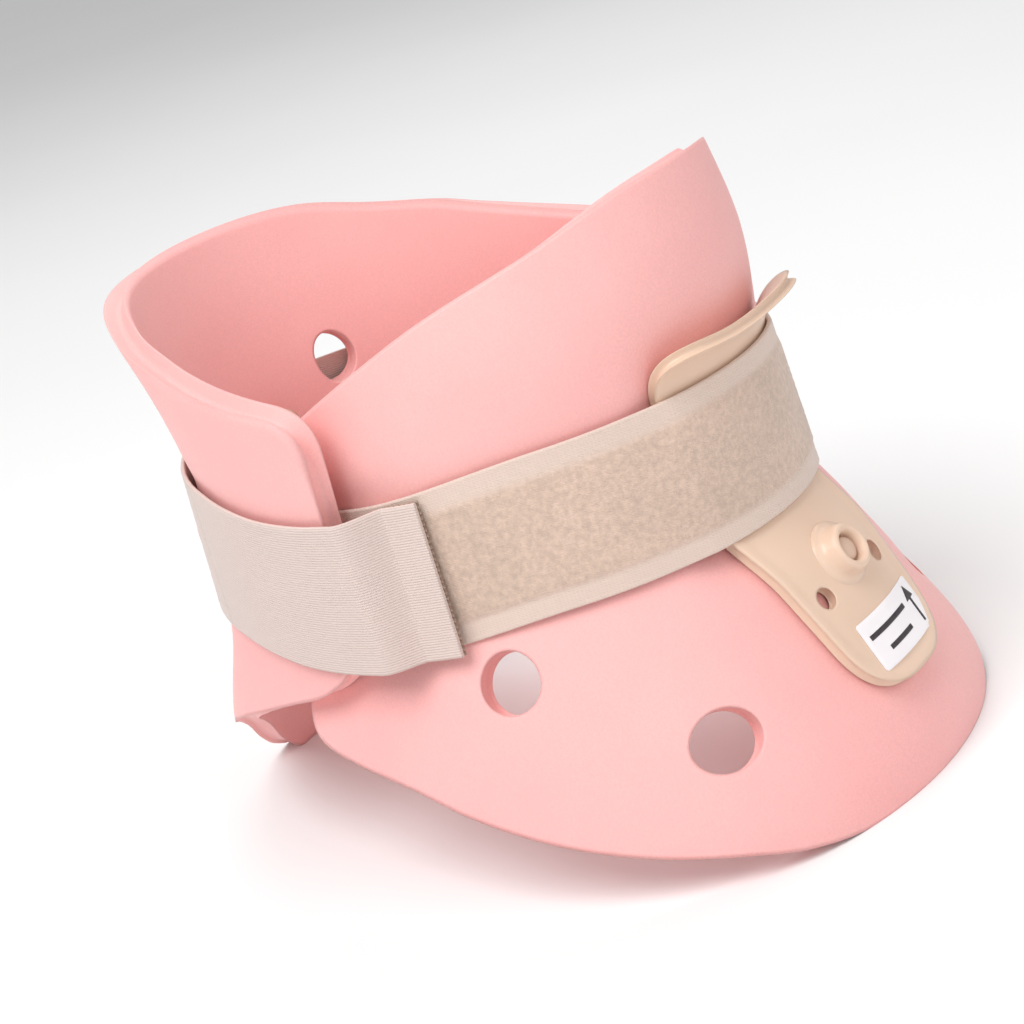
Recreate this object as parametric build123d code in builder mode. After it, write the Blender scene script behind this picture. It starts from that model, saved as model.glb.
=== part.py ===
"""Two-piece cervical collar: foam front and rear shells, moulded struts, hook-and-loop strap.

The frame stands on the table: +Z up, -Y is the wearer's front, +X the wearer's left.
The neck axis leans back a little, because the chest flap reaches lower than the rear base.
Heights in the tables below are measured along the neck axis from the middle of the strap.
"""
from build123d import *
from math import atan2, cos, degrees, radians, sin, tan
import os

os.makedirs("parts", exist_ok=True)

# ---- driving dimensions, millimetres ----
FOAM = 6.5                      # foam sheet
STRAP_WIDTH = 38.0
LOOP_TAPE = 1.5                 # pile tape round the front
WEBBING = 1.2                   # strap behind and at the sides
HOOK_TAPE = 0.8
PLATE = 2.8                     # moulded strut wall
GAP = 0.5                       # air between pieces that lie on one another

LEVELS = 15                     # cross-sections in each lofted shell, less one
REACH = 130.0                   # further out than any wall: how far outlines are extruded

# level cross-sections: height on the neck axis, half width, reach from the section's centre
FRONT_CENTRE = -4.5
FRONT_ROWS = [(-98, 103, 99.5), (-78, 94.5, 99.5), (-55, 82.5, 91), (-35, 72.5, 82.5),
              (-10, 62, 71.5), (19, 64, 73), (45, 61.5, 76.5), (75, 54, 74)]
REAR_CENTRE = -9.5
REAR_ROWS = [(-80, 79, 113.5), (-62, 78, 109.5), (-45, 78.5, 104), (-19, 75.6, 92),
             (19, 76, 84), (42, 76.5, 87), (72, 80, 96.5)]

FLAP_DROP = 87.4                # chest flap's lowest edge below the strap's middle
BASE_DROP = 76.0                # rear shell's base below the strap's middle
FLAP_TIP = -101.0               # where the flap and the base touch the table, along the collar
BASE_HEEL = 101.0

FRONT_VENT = 17.0               # punched vent holes
REAR_VENT = 13.0
FRONT_VENTS = [(67.5, -31), (37, -55.5)]    # degrees from the front, height
REAR_VENT_ANGLE, REAR_VENT_HEIGHT = 22.0, 27.0

RIVET_ANGLE = 30.0              # strap rivets, degrees from the back
SWING_ANGLE = 40.0              # where each strap arm leaves the rivets
SWING_GAP = 0.45                # half the gap there, in degrees
ARM_END_ANGLE = 83.6            # and where it meets the hook tab
PANEL_FRONT = -10.5             # front edge of the rear panels
PEEL_LINE = -2.0                # where each hook tab starts
TAB_STEP = (-12.0, -18.0)       # and where it steps down off the panel's edge
TAB_END = -27.0
STRAP_RISE = 7.0                # the strap climbs towards the back, in degrees
STRAP_DROP = 2.2                # and sits this much lower than the loop tape at the sides

LEAN = degrees(atan2(FLAP_DROP - BASE_DROP, BASE_HEEL - FLAP_TIP))
NECK_Y = 5.3                    # puts the origin at the middle of the footprint
NECK_Z = 81.3

collar = Plane(
    origin=(0, NECK_Y, NECK_Z),
    x_dir=(1, 0, 0),
    z_dir=(0, sin(radians(LEAN)), cos(radians(LEAN))),
)
side_view = Plane(origin=collar.origin, x_dir=collar.y_dir, z_dir=(1, 0, 0))
front_view = Plane(origin=collar.origin, x_dir=(1, 0, 0), z_dir=-collar.y_dir)
rear_view = Plane(origin=collar.origin, x_dir=(-1, 0, 0), z_dir=collar.y_dir)
strap_level = Plane(
    origin=collar.from_local_coords(Vector(0, 0, -STRAP_DROP)),
    x_dir=(1, 0, 0),
    z_dir=(0, sin(radians(LEAN - STRAP_RISE)), cos(radians(LEAN - STRAP_RISE))),
)


# ---- shared shapes ----
def level_oval(level, height, half_width, reach, centre):
    """A cross-section of the collar or the strap, parallel to a level plane."""
    with BuildSketch(level.offset(height), mode=Mode.PRIVATE) as oval:
        with Locations((0, centre)):
            Ellipse(half_width, reach)
    return oval.sketch


def row_at(rows, height):
    """Half width and reach at any height: a smooth curve through the rows."""
    last = len(rows) - 1
    i = max(k for k in range(last) if rows[k][0] <= height)
    span = rows[i + 1][0] - rows[i][0]
    t = (height - rows[i][0]) / span

    def slope(k, column):
        low, high = rows[max(k - 1, 0)], rows[min(k + 1, last)]
        return (high[column] - low[column]) / (high[0] - low[0])

    def value(column):
        start, end = rows[i][column], rows[i + 1][column]
        rise_in, rise_out = slope(i, column) * span, slope(i + 1, column) * span
        return (start * (2 * t**3 - 3 * t**2 + 1) + rise_in * (t**3 - 2 * t**2 + t)
                + end * (3 * t**2 - 2 * t**3) + rise_out * (t**3 - t**2))

    return value(1), value(2)


def ovals(rows, centre, grow):
    """Evenly spaced cross-sections of a shell, grown outward by one distance."""
    low, high = rows[0][0], rows[-1][0]
    rings = []
    for k in range(LEVELS + 1):
        height = low + (high - low) * k / LEVELS
        half_width, reach = row_at(rows, height)
        rings.append(level_oval(collar, height, half_width + grow, reach + grow, centre))
    return rings


def wall_plane(rows, centre, angle, height, forward):
    """A plane on the foam's outer face, facing out. The angle is from the front or the back."""
    turn = radians(angle)

    def point(at_angle, at_height):
        half_width, reach = row_at(rows, at_height)
        return Vector(half_width * sin(at_angle), centre + forward * reach * cos(at_angle), at_height)

    along = point(turn + 0.01, height) - point(turn - 0.01, height)
    up = point(turn, height + 2) - point(turn, height - 2)
    out = along.cross(up) * -forward
    place = collar.from_local_coords(point(turn, height))
    tip = collar.from_local_coords(point(turn, height) + out.normalized())
    level = collar.from_local_coords(point(turn, height) + along.normalized())
    return Plane(origin=place, x_dir=level - place, z_dir=tip - place)


def front_wall(angle, height):
    return wall_plane(FRONT_ROWS, FRONT_CENTRE, angle, height, -1)


def rear_wall(angle, height):
    return wall_plane(REAR_ROWS, REAR_CENTRE, angle, height, 1)


def rounded_outline(points, radii):
    """A closed outline with its own radius at each corner."""
    with BuildSketch(mode=Mode.PRIVATE) as outline:
        with BuildLine():
            FilletPolyline(*points, radius=radii, close=True)
        make_face()
    return outline.sketch


# ---- moulded pins and plates, shared sizes ----
PIN = 6.0
PIN_FLANGE = 18.0
FLANGE = 1.4
FLANGE_DEPTH = FOAM + 2.6       # back of the flange behind the foam's outer face, clear of its curve
DRILL = 20.0                    # deeper than any wall, for cutting holes both ways
STRAP_LIFT = PLATE + 3 * GAP    # the tapes clear the struts by this much at the front and back

# ---- front half ----
PIN_HEIGHT = -34.2
BOSS_BASE, BOSS_TOP, BOSS_HEIGHT = 18.0, 11.0, 5.5
PIN_RECESS = 1.5                # the pin stops this far inside the boss
SMALL_HOLE = 5.6
SMALL_HOLE_ANGLE, SMALL_HOLE_HEIGHT = 9.6, -39.8

with BuildPart() as front_shell:
    loft(ovals(FRONT_ROWS, FRONT_CENTRE, 0))
    loft(ovals(FRONT_ROWS, FRONT_CENTRE, -FOAM), mode=Mode.SUBTRACT)
    with BuildSketch(side_view):
        with BuildLine():
            jaw = Spline((10, 34), (-20, 47.5), (-60, 61.5), (-84, 69.5), tangents=((-2, 1), (-2, 0.6)))
            Line(jaw @ 1, (-125, 69.5))
            Line((-125, 69.5), (-125, -FLAP_DROP))
            Line((-125, -FLAP_DROP), (-99, -FLAP_DROP))
            hem = Spline((-99, -FLAP_DROP), (-91, -84), (-58, -70.3), (-24, -56.8), (20, -42),
                         tangents=((1, 0.02), (2, 0.8)))
            corner = ThreePointArc(hem @ 1, (25.5, -38.5), (26.5, -32.5))
            Line(corner @ 1, jaw @ 0)
        make_face()
    extrude(amount=REACH, both=True, mode=Mode.INTERSECT)
    for angle, height in FRONT_VENTS:
        for side in (-1, 1):
            with BuildSketch(front_wall(side * angle, height)):
                Circle(FRONT_VENT / 2)
            extrude(amount=DRILL, both=True, mode=Mode.SUBTRACT)
    with BuildSketch(front_wall(0, PIN_HEIGHT)):
        Circle(PIN / 2 + GAP)
    extrude(amount=DRILL, both=True, mode=Mode.SUBTRACT)
    split(bisect_by=Plane.XY, keep=Keep.TOP)
front_shell.part.label = "front_shell"

LIP = [(16, 0), (20, 0.6), (24, 2.6), (27, 5.2), (29.5, 8.6), (31, 12)]   # height, curl outward


def lip_ovals(grow):
    """The chin lip's cross-sections: it leaves the foam and curls forward."""
    rings = []
    for height, curl in LIP:
        half_width, reach = row_at(FRONT_ROWS, height)
        rings.append(level_oval(collar, height, half_width + curl + grow, reach + curl + grow, FRONT_CENTRE))
    return rings


with BuildPart(mode=Mode.PRIVATE) as chin_lip:
    loft(lip_ovals(GAP + PLATE), ruled=True)
    loft(lip_ovals(GAP), ruled=True, mode=Mode.SUBTRACT)
    with BuildSketch(front_view):
        add(rounded_outline([(-29, 32), (29, 32), (22, 15.8), (-22, 15.8)], [9, 9, 1, 1]))
    extrude(amount=REACH, mode=Mode.INTERSECT)

with BuildPart() as front_strut:
    loft(ovals(FRONT_ROWS, FRONT_CENTRE, GAP + PLATE))
    loft(ovals(FRONT_ROWS, FRONT_CENTRE, GAP), mode=Mode.SUBTRACT)
    with BuildSketch(front_view):
        add(rounded_outline([(-22, 18), (22, 18), (22, -22), (17.5, -63.5), (-17.5, -63.5), (-22, -22)],
                            [1, 1, 30, 13, 13, 30]))
    extrude(amount=REACH, mode=Mode.INTERSECT)
    add(chin_lip.part)
    with BuildSketch(front_wall(0, PIN_HEIGHT).offset(GAP + PLATE - 1)):
        Circle(BOSS_BASE / 2)
    with BuildSketch(front_wall(0, PIN_HEIGHT).offset(GAP + PLATE + BOSS_HEIGHT)):
        Circle(BOSS_TOP / 2)
    loft()
    with BuildSketch(front_wall(0, PIN_HEIGHT)):
        Circle(PIN / 2 + GAP)
    extrude(amount=DRILL, both=True, mode=Mode.SUBTRACT)
    for side in (-1, 1):
        with BuildSketch(front_wall(side * SMALL_HOLE_ANGLE, SMALL_HOLE_HEIGHT)):
            Circle(SMALL_HOLE / 2)
        extrude(amount=DRILL, mode=Mode.SUBTRACT)
front_strut.part.label = "front_strut"

with BuildPart() as front_pin:
    with BuildSketch(front_wall(0, PIN_HEIGHT).offset(-FLANGE_DEPTH)):
        Circle(PIN_FLANGE / 2)
    extrude(amount=FLANGE)
    with BuildSketch(front_wall(0, PIN_HEIGHT).offset(-FLANGE_DEPTH + FLANGE / 2)):
        Circle(PIN / 2)
    extrude(amount=FLANGE_DEPTH + PLATE + BOSS_HEIGHT - PIN_RECESS)
front_pin.part.label = "front_pin"

LABEL = 0.4
LABEL_LENGTH, LABEL_WIDTH = 28.0, 11.5
LABEL_X, LABEL_HEIGHT = 3.0, -54.2
LABEL_GAP = 0.1
with BuildPart() as front_label:
    loft(ovals(FRONT_ROWS, FRONT_CENTRE, GAP + PLATE + LABEL_GAP + LABEL))
    loft(ovals(FRONT_ROWS, FRONT_CENTRE, GAP + PLATE + LABEL_GAP), mode=Mode.SUBTRACT)
    with BuildSketch(front_view):
        with Locations((LABEL_X, LABEL_HEIGHT)):
            RectangleRounded(LABEL_LENGTH, LABEL_WIDTH, 0.8)
    extrude(amount=REACH, mode=Mode.INTERSECT)
front_label.part.label = "front_label"


def loop_rings(grow):
    """The loop tape's two edges: close to the foam at the sides, clear of the strut in front."""
    rings = []
    for height in (-STRAP_WIDTH / 2, STRAP_WIDTH / 2):
        half_width, reach = row_at(FRONT_ROWS, height)
        rings.append(level_oval(collar, height, half_width + GAP + grow, reach + STRAP_LIFT + grow,
                                FRONT_CENTRE))
    return rings


with BuildPart() as front_loop_strap:
    loft(loop_rings(LOOP_TAPE))
    loft(loop_rings(0), mode=Mode.SUBTRACT)
    with BuildSketch(side_view):
        with Locations((-92, 0)):
            Rectangle(200, 60)
    extrude(amount=REACH, both=True, mode=Mode.INTERSECT)
front_loop_strap.part.label = "front_loop_strap"

# ---- rear half ----
REAR_PIN_HEIGHTS = (14.0, -33.0)
RIVET_HEIGHT = 6.0
RIVET_SHANK = 4.0
RIVET_HOLE = 5.2

with BuildPart() as rear_shell:
    loft(ovals(REAR_ROWS, REAR_CENTRE, 0))
    loft(ovals(REAR_ROWS, REAR_CENTRE, -FOAM), mode=Mode.SUBTRACT)
    with BuildSketch(side_view):
        with BuildLine():
            rim = Spline((0, 43.5), (31, 53), (59, 62), (92, 70.5), tangents=((1, 0.25), (1, 0.15)))
            Line(rim @ 1, (125, 71))
            Line((125, 71), (125, -79))
            Line((125, -79), (96, -79))
            arch = Spline((96, -79), (84, -60), (61, -41.3), (40.5, -33.4), (10, -25.5),
                          tangents=((-0.2, 1), (-2.5, 0.6)))
            low_corner = ThreePointArc(arch @ 1, (-4, -17), (-9.5, -6))
            edge = Line(low_corner @ 1, (PANEL_FRONT, 28))
            ThreePointArc(edge @ 1, (-7.5, 39.5), rim @ 0)
        make_face()
    extrude(amount=REACH, both=True, mode=Mode.INTERSECT)
    with BuildSketch(rear_view):
        with BuildLine():
            base = Spline((-56, -41), (-42, -49.5), (-25, -59.4), (-13, -70.5), (0, -76.8), (13, -70.5),
                          (25, -59.4), (42, -49.5), (56, -41), tangents=((1, -0.6), (1, 0.6)))
            Polyline(base @ 1, (100, -41), (100, 90), (-100, 90), (-100, -41), base @ 0)
        make_face()
    extrude(amount=REACH, both=True, mode=Mode.INTERSECT)
    for side in (-1, 1):
        with BuildSketch(rear_wall(side * REAR_VENT_ANGLE, REAR_VENT_HEIGHT)):
            Circle(REAR_VENT / 2)
        extrude(amount=DRILL, both=True, mode=Mode.SUBTRACT)
    for height in REAR_PIN_HEIGHTS:
        with BuildSketch(rear_wall(0, height)):
            Circle(PIN / 2 + GAP)
        extrude(amount=DRILL, both=True, mode=Mode.SUBTRACT)
    for side in (-1, 1):
        with BuildSketch(rear_wall(side * RIVET_ANGLE, RIVET_HEIGHT)):
            Circle(RIVET_HOLE / 2)
        extrude(amount=DRILL, both=True, mode=Mode.SUBTRACT)
    split(bisect_by=Plane.XY, keep=Keep.TOP)
rear_shell.part.label = "rear_shell"

with BuildPart() as rear_strut:
    loft(ovals(REAR_ROWS, REAR_CENTRE, GAP + PLATE))
    loft(ovals(REAR_ROWS, REAR_CENTRE, GAP), mode=Mode.SUBTRACT)
    with BuildSketch(rear_view):
        add(rounded_outline(
            [(-19, 49), (19, 49), (17, 0), (19, -47), (-19, -47), (-17, 0)],
            [12, 12, 60, 14, 14, 60]))
    extrude(amount=REACH, mode=Mode.INTERSECT)
    for height in REAR_PIN_HEIGHTS:
        with BuildSketch(rear_wall(0, height)):
            Circle(PIN / 2 + GAP)
        extrude(amount=DRILL, both=True, mode=Mode.SUBTRACT)
rear_strut.part.label = "rear_strut"

PIN_PROUD = 0.6
with BuildPart() as rear_pins:
    for height in REAR_PIN_HEIGHTS:
        with BuildSketch(rear_wall(0, height).offset(-FLANGE_DEPTH)):
            Circle(PIN_FLANGE / 2)
        extrude(amount=FLANGE)
        with BuildSketch(rear_wall(0, height).offset(-FLANGE_DEPTH + FLANGE / 2)):
            Circle(PIN / 2)
        extrude(amount=FLANGE_DEPTH - FLANGE / 2 + GAP + PLATE + PIN_PROUD)
rear_pins.part.label = "rear_pins"

STRAP_SIDE_GAP = 0.8
STRAP_CLIMB = 85 * tan(radians(STRAP_RISE))     # how much higher the strap runs at the back


def strap_rings(grow):
    """The strap's two edges, on planes that climb towards the back."""
    rings = []
    for height in (-STRAP_WIDTH / 2, STRAP_WIDTH / 2):
        half_width = row_at(REAR_ROWS, height - STRAP_DROP)[0] + STRAP_SIDE_GAP
        reach = row_at(REAR_ROWS, height - STRAP_DROP + STRAP_CLIMB)[1] + STRAP_LIFT + GAP
        rise = radians(STRAP_RISE)
        reach = (REAR_CENTRE + reach + height * sin(rise)) / cos(rise) - REAR_CENTRE
        rings.append(level_oval(strap_level, height, half_width + grow, reach + grow, REAR_CENTRE))
    return rings


def sector(low_angle, high_angle, side):
    """A wedge in plan, between two angles from the back, on one side of the collar."""
    far = 180.0
    corners = [(0, REAR_CENTRE)]
    for angle in (low_angle, high_angle):
        turn = radians(angle)
        corners.append((side * far * sin(turn), REAR_CENTRE + far * cos(turn)))
    return corners


with BuildPart() as rear_strap:
    loft(strap_rings(WEBBING))
    loft(strap_rings(0), mode=Mode.SUBTRACT)
    with BuildSketch(collar.offset(-STRAP_WIDTH)):
        Polygon(*sector(-SWING_ANGLE + SWING_GAP, SWING_ANGLE - SWING_GAP, 1), align=None)
    extrude(amount=2 * STRAP_WIDTH, mode=Mode.INTERSECT)
    for side in (-1, 1):
        with BuildSketch(rear_wall(side * RIVET_ANGLE, RIVET_HEIGHT)):
            Circle(RIVET_HOLE / 2)
        extrude(amount=DRILL, mode=Mode.SUBTRACT)
rear_strap.part.label = "rear_strap"

RIVET_LIFT = 6.6                # the strap's outer face at the rivets, off the foam
RIVET_CAP = 10.0
CAP_HEIGHT = 1.6
WASHER = 13.0
WASHER_PLATE = 1.2
WASHER_DEPTH = FOAM + 2.0
with BuildPart() as strap_rivets:
    for side in (-1, 1):
        wall = rear_wall(side * RIVET_ANGLE, RIVET_HEIGHT)
        with BuildSketch(wall.offset(-WASHER_DEPTH)):
            Circle(RIVET_SHANK / 2)
        extrude(amount=WASHER_DEPTH + RIVET_LIFT + CAP_HEIGHT / 2)
        with BuildSketch(wall.offset(RIVET_LIFT)):
            Circle(RIVET_CAP / 2)
        extrude(amount=CAP_HEIGHT, taper=20)
strap_rivets.part.label = "strap_rivets"

with BuildPart() as rivet_washers:
    for side in (-1, 1):
        with BuildSketch(rear_wall(side * RIVET_ANGLE, RIVET_HEIGHT).offset(-WASHER_DEPTH)):
            Circle(WASHER / 2)
            Circle(RIVET_SHANK / 2 + 0.1, mode=Mode.SUBTRACT)
        extrude(amount=WASHER_PLATE)
rivet_washers.part.label = "rivet_washers"

# ---- strap arms, hook tabs and hook patches, one set each side ----
TAB_DROP = 2.8                  # the tabs lie this much lower than the loop tape
HOOK_AIR = 0.1


def thicken(route, inner_shift, thickness):
    """Two parallel lines beside a route, joined into one closed outline."""
    sides = []
    for shift in (inner_shift, inner_shift + thickness):
        line = []
        for i, (x, y) in enumerate(route):
            before, after = route[max(i - 1, 0)], route[min(i + 1, len(route) - 1)]
            ways = [Vector(x, y) - Vector(*before), Vector(*after) - Vector(x, y)]
            ways = [way.normalized() for way in ways if way.length > 0]
            normals = [Vector(-way.Y, way.X) for way in ways]
            middle = sum(normals, Vector(0, 0)).normalized()
            line.append(Vector(x, y) + middle * (shift / middle.dot(normals[0])))
        sides.append(line)
    return sides[0] + sides[1][::-1]


def tab_section(height, side, inner_shift, thickness, from_y):
    """The tab steps down off the rear panel's edge and runs straight over the loop tape."""
    panel_x = row_at(REAR_ROWS, height)[0] + STRAP_SIDE_GAP
    lap_x = row_at(FRONT_ROWS, height)[0] + 3 * GAP + LOOP_TAPE + HOOK_TAPE
    step_start, step_end = TAB_STEP
    route = [(panel_x, PEEL_LINE), (panel_x, step_start), (lap_x, step_end), (lap_x, TAB_END)]
    route = [place for place in route if place[1] <= from_y]
    corners = [(side * corner.X, corner.Y) for corner in thicken(route, inner_shift, thickness)]
    with BuildSketch(collar.offset(height), mode=Mode.PRIVATE) as section:
        Polygon(*corners, align=None)
    return section.sketch


def tab_rings(side, inner_shift, thickness, from_y):
    heights = (-STRAP_WIDTH / 2 - TAB_DROP, STRAP_WIDTH / 2 - TAB_DROP)
    return [tab_section(height, side, inner_shift, thickness, from_y) for height in heights]


for name, side in (("left", 1), ("right", -1)):
    with BuildPart() as arm:
        loft(strap_rings(WEBBING))
        loft(strap_rings(0), mode=Mode.SUBTRACT)
        with BuildSketch(collar.offset(-STRAP_WIDTH)):
            Polygon(*sector(SWING_ANGLE + SWING_GAP, ARM_END_ANGLE, side), align=None)
        extrude(amount=2 * STRAP_WIDTH, mode=Mode.INTERSECT)
    arm.part.label = f"{name}_strap_arm"
    export_step(arm.part, f"parts/{name}_strap_arm.step")

    with BuildPart() as tab:
        loft(tab_rings(side, 0, WEBBING, PEEL_LINE))
    tab.part.label = f"{name}_tab"
    export_step(tab.part, f"parts/{name}_tab.step")

    with BuildPart() as hook:
        loft(tab_rings(side, -HOOK_TAPE - HOOK_AIR, HOOK_TAPE, TAB_STEP[1]))
    hook.part.label = f"{name}_hook"
    export_step(hook.part, f"parts/{name}_hook.step")

for piece in (front_shell, front_strut, front_pin, front_label, front_loop_strap,
              rear_shell, rear_strut, rear_pins, rear_strap, strap_rivets, rivet_washers):
    export_step(piece.part, f"parts/{piece.part.label}.step")
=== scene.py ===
"""Looks of the cervical collar: foam shells, moulded struts, hook-and-loop strap, studio."""
from math import atan2, cos, degrees, pi, radians, sin

import bmesh
import bpy
import numpy as np
from mathutils import Matrix, Vector, noise
from mathutils.geometry import delaunay_2d_cdt

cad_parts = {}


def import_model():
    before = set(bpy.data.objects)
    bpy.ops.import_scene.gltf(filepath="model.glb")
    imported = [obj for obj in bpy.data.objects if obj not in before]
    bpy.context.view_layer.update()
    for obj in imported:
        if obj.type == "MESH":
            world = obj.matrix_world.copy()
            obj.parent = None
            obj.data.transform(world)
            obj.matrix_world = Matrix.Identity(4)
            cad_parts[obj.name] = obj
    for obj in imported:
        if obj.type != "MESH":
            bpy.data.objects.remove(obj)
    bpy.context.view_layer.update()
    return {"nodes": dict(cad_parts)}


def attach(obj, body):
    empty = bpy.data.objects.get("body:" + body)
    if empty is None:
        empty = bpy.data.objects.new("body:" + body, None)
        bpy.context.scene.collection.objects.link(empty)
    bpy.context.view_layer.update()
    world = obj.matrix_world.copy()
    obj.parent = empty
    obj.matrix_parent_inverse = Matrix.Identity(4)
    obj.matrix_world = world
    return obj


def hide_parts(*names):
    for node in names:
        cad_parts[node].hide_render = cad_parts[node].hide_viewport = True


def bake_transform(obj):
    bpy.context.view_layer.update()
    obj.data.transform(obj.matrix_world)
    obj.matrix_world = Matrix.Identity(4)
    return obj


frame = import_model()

# ---- the collar's frame: millimetres along the neck axis, turned into the part's metres ----
MM = 0.001
NECK = np.array([0, 5.3, 81.3])                 # middle of the strap, in the part's frame
LEAN = atan2(11.4, 202)                         # the neck axis leans back this much
ALONG = np.array([0, cos(LEAN), -sin(LEAN)])
UP = np.array([0, sin(LEAN), cos(LEAN)])
SIDE = np.array([1.0, 0, 0])

FOAM = 6.5
STRAP_WIDTH = 38.0
LOOP_TAPE = 1.5
WEBBING = 1.2
HOOK_TAPE = 0.8
PLATE = 2.8
GAP = 0.5

# height on the neck axis, half width, reach from the section's centre
FRONT_CENTRE = -4.5
FRONT_ROWS = [(-98, 103, 99.7), (-78, 95, 99.8), (-55, 82.6, 91.1), (-35, 72.5, 82.5),
              (-10, 62, 71.5), (19, 64, 73), (45, 61.5, 76.5), (75, 54, 74)]
REAR_CENTRE = -9.5
REAR_ROWS = [(-80, 79, 113.5), (-62, 78, 109.5), (-45, 78.5, 104), (-19, 75.6, 92),
             (19, 76, 84), (42, 76.5, 87), (72, 80, 96.5)]


def to_world(points):
    """Collar millimetres to the part's metres."""
    p = np.asarray(points, float)
    world = p[..., :1] * SIDE + p[..., 1:2] * ALONG + p[..., 2:3] * UP + NECK
    return world * MM


def smooth_curve(points):
    """A function through points, with slopes averaged from their neighbours."""
    rows = np.array(sorted(points), float)
    x, y = rows[:, 0], rows[:, 1:]
    slope = np.empty_like(y)
    slope[1:-1] = (y[2:] - y[:-2]) / (x[2:] - x[:-2])[:, None]
    slope[0] = (y[1] - y[0]) / (x[1] - x[0])
    slope[-1] = (y[-1] - y[-2]) / (x[-1] - x[-2])

    def value(at):
        at = np.clip(np.asarray(at, float), x[0], x[-1])
        i = np.clip(np.searchsorted(x, at, side="right") - 1, 0, len(x) - 2)
        span = (x[i + 1] - x[i])[..., None]
        t = ((at - x[i]) / (x[i + 1] - x[i]))[..., None]
        return (y[i] * (2 * t**3 - 3 * t**2 + 1) + slope[i] * span * (t**3 - 2 * t**2 + t)
                + y[i + 1] * (3 * t**2 - 2 * t**3) + slope[i + 1] * span * (t**3 - t**2))

    return value


def smoothstep(low, high, x):
    t = np.clip((np.asarray(x, float) - low) / (high - low), 0, 1)
    return t * t * (3 - 2 * t)


ARC = 70.0          # one radian round the collar is about this many millimetres


class Wall:
    """A shell's outer face. A place on it is (millimetres round, height)."""

    def __init__(self, rows, centre, forward):
        self.profile = smooth_curve(rows)
        self.centre = centre
        self.forward = forward

    def point(self, places):
        places = np.asarray(places, float)
        turn = places[..., 0] / ARC
        size = self.profile(places[..., 1])
        x = size[..., 0] * np.sin(turn)
        y = self.centre + self.forward * size[..., 1] * np.cos(turn)
        return np.stack([x, y, places[..., 1]], -1)

    def out(self, places):
        """Unit normals, away from the neck."""
        places = np.asarray(places, float)
        step_round, step_up = np.array([0.4, 0]), np.array([0, 0.4])
        across = self.point(places + step_round) - self.point(places - step_round)
        up = self.point(places + step_up) - self.point(places - step_up)
        normal = np.cross(across, up) * -self.forward
        return normal / np.linalg.norm(normal, axis=-1, keepdims=True)

    def offset(self, places, distance):
        return self.point(places) + self.out(places) * np.asarray(distance, float)[..., None]


front_wall = Wall(FRONT_ROWS, FRONT_CENTRE, -1)
rear_wall = Wall(REAR_ROWS, REAR_CENTRE, 1)


# ---- a sheet cut to an outline, given its thickness and rounded edges ----
def resample(loop, spacing):
    """Evenly spaced points round a closed loop."""
    loop = np.asarray(loop, float)
    closed = np.vstack([loop, loop[:1]])
    run = np.concatenate([[0], np.cumsum(np.linalg.norm(np.diff(closed, axis=0), axis=1))])
    at = np.linspace(0, run[-1], max(12, int(run[-1] / spacing)), endpoint=False)
    return np.stack([np.interp(at, run, closed[:, k]) for k in range(2)], 1)


def round_corner(loop, corner, radius):
    """Replaces the part of a loop near a corner with a curve."""
    loop = np.asarray(loop, float)
    at = int(np.argmin(np.linalg.norm(loop - corner, axis=1)))
    loop = np.roll(loop, -at, axis=0)
    tip = loop[0]
    run = np.concatenate([[0], np.cumsum(np.linalg.norm(np.diff(loop, axis=0), axis=1))])
    first = int(np.searchsorted(run, radius))
    last = int(np.searchsorted(run, run[-1] - radius))
    start, end = loop[last], loop[first]
    t = np.linspace(0, 1, 14)[1:-1, None]
    curve = start * (1 - t) ** 2 + 2 * tip * t * (1 - t) + end * t**2
    return np.vstack([loop[first:last + 1], curve])


def area(loop):
    x, y = loop[:, 0], loop[:, 1]
    return 0.5 * float(np.sum(x * np.roll(y, -1) - np.roll(x, -1) * y))


def inward(loop):
    """Unit normals to the left of a loop's direction: into the sheet."""
    ahead = np.roll(loop, -1, 0) - np.roll(loop, 1, 0)
    normal = np.stack([-ahead[:, 1], ahead[:, 0]], 1)
    return normal / np.linalg.norm(normal, axis=1, keepdims=True)


def contains(loop, points):
    """Which points lie inside a loop."""
    x, y = points[:, 0], points[:, 1]
    inside = np.zeros(len(points), bool)
    for (x0, y0), (x1, y1) in zip(loop, np.roll(loop, -1, 0)):
        crosses = (y0 > y) != (y1 > y)
        with np.errstate(divide="ignore", invalid="ignore"):
            inside ^= crosses & (x < (x1 - x0) * (y - y0) / (y1 - y0) + x0)
    return inside


def nearest(points, loop):
    """Each point's distance to a loop."""
    return np.sqrt(((points[:, None] - loop[None]) ** 2).sum(-1)).min(1)


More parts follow.
